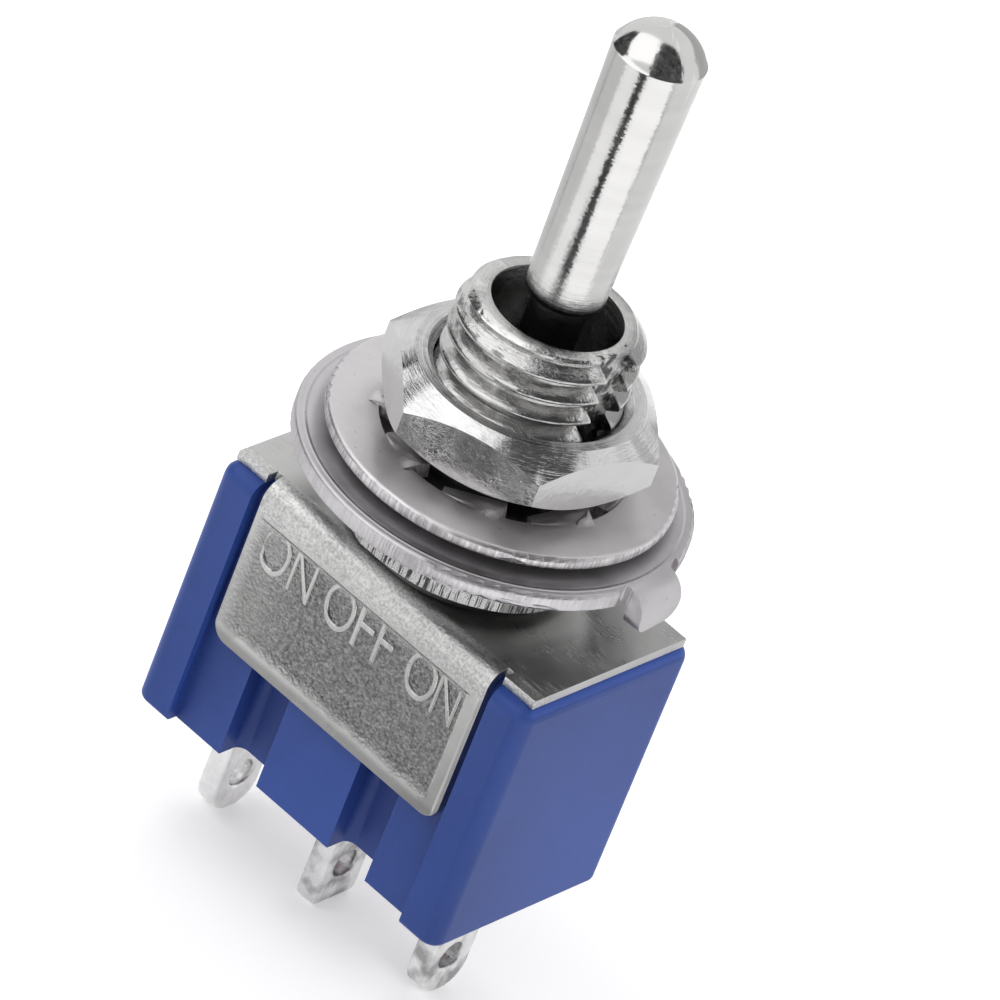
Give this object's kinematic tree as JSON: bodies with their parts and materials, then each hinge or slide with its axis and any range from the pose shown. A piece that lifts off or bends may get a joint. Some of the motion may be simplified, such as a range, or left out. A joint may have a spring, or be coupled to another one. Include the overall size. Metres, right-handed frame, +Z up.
{
  "type": "panel toggle switch",
  "caption": "Sub-miniature panel toggle switch: blue moulded case under a folded steel cover, threaded keyed bushing with hex nuts, lock washer and locating washer, and a tapered nickel lever.",
  "frame": {"origin": "on the bushing's axis, on the top face of the folded cover", "axes": "+Z up the bushing and the upright lever, +X along the row of terminals towards the keyway, -Y the front with the sunk panel"},
  "size_m": [0.0135, 0.0126, 0.0333],
  "materials": {
    "blue_plastic": "satin moulded blue thermoset",
    "cover_steel": "tin-plated sheet steel, satin",
    "bushing_nickel": "nickel-plated turned brass",
    "lever_nickel": "bright nickel plate",
    "nut_nickel": "nickel-plated brass, turned faces",
    "washer_steel": "nickel-plated pressed steel, satin",
    "terminal_silver": "silver-plated brass, soft",
    "seal_resin": "set epoxy, dark red",
    "plunger_plastic": "natural acetal",
    "spring_steel": "spring wire",
    "contact_brass": "pressed brass strip",
    "contact_silver": "silver alloy"
  },
  "bodies": {
    "switch_body": {"case": "blue_plastic", "cover": "cover_steel", "bushing": "bushing_nickel", "lower_nut": "nut_nickel", "locating_washer": "washer_steel", "lock_washer": "washer_steel", "upper_nut": "nut_nickel", "terminal_left": "terminal_silver", "terminal_common": "terminal_silver", "terminal_right": "terminal_silver", "fixed_contact_left": "contact_silver", "fixed_contact_right": "contact_silver", "saddle": "contact_brass", "terminal_seal": "seal_resin"},
    "lever_body": {"lever": "lever_nickel", "plunger_spring": "spring_steel"},
    "plunger_body": {"plunger": "plunger_plastic"},
    "rocker_body": {"rocker": "contact_brass", "rocker_contact_left": "contact_silver", "rocker_contact_right": "contact_silver"}
  },
  "joints": [
    {"name": "lever_tilt", "type": "hinge", "parent": "switch_body", "child": "lever_body", "pos_m": [0, 0, 0.0045], "axis": [0, 1, 0], "range_deg": [-12.5, 12.5]},
    {"name": "plunger_slide", "type": "slide", "parent": "lever_body", "child": "plunger_body", "axis": [0, 0, 1], "range_m": [0, 0.00035], "stiffness_N_per_m": 400, "deforming": ["plunger_spring"]},
    {"name": "rocker_tilt", "type": "hinge", "parent": "switch_body", "child": "rocker_body", "pos_m": [0, 0, -0.0054], "axis": [0, 1, 0], "range_deg": [-8, 8]}
  ],
  "couplings": [
    {"joint": "rocker_tilt", "follows": "lever_tilt", "ratio": -0.64}
  ]
}
